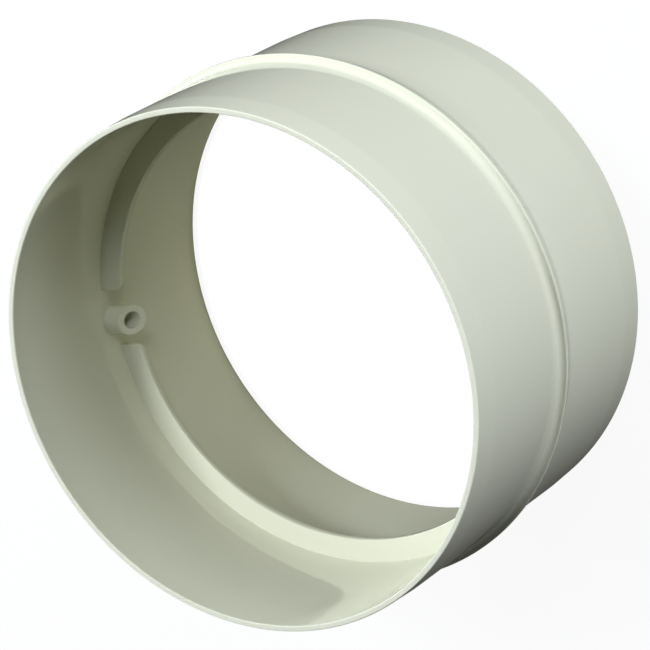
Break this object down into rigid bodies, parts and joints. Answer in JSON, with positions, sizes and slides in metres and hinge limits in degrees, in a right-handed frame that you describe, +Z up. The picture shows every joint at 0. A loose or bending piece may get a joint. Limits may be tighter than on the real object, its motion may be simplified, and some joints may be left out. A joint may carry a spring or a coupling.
{
  "type": "duct connector",
  "caption": "Straight round duct connector: a thin open sleeve with a stop bead round its middle, a stepped half-ring flap seat inside and hollow pivot bosses for a shutter flap.",
  "frame": {"origin": "on the sleeve's axis, at the rim it stands on", "axes": "+Z up along the sleeve's axis, X along the pivot bosses, the higher half of the flap seat on the +Y side"},
  "size_m": [0.1024, 0.1024, 0.0615],
  "materials": {
    "body_plastic": "smooth moulded ABS, ivory with a green-grey cast, soft gloss"
  },
  "bodies": {
    "root": {"connector_body": "body_plastic"}
  },
  "joints": []
}
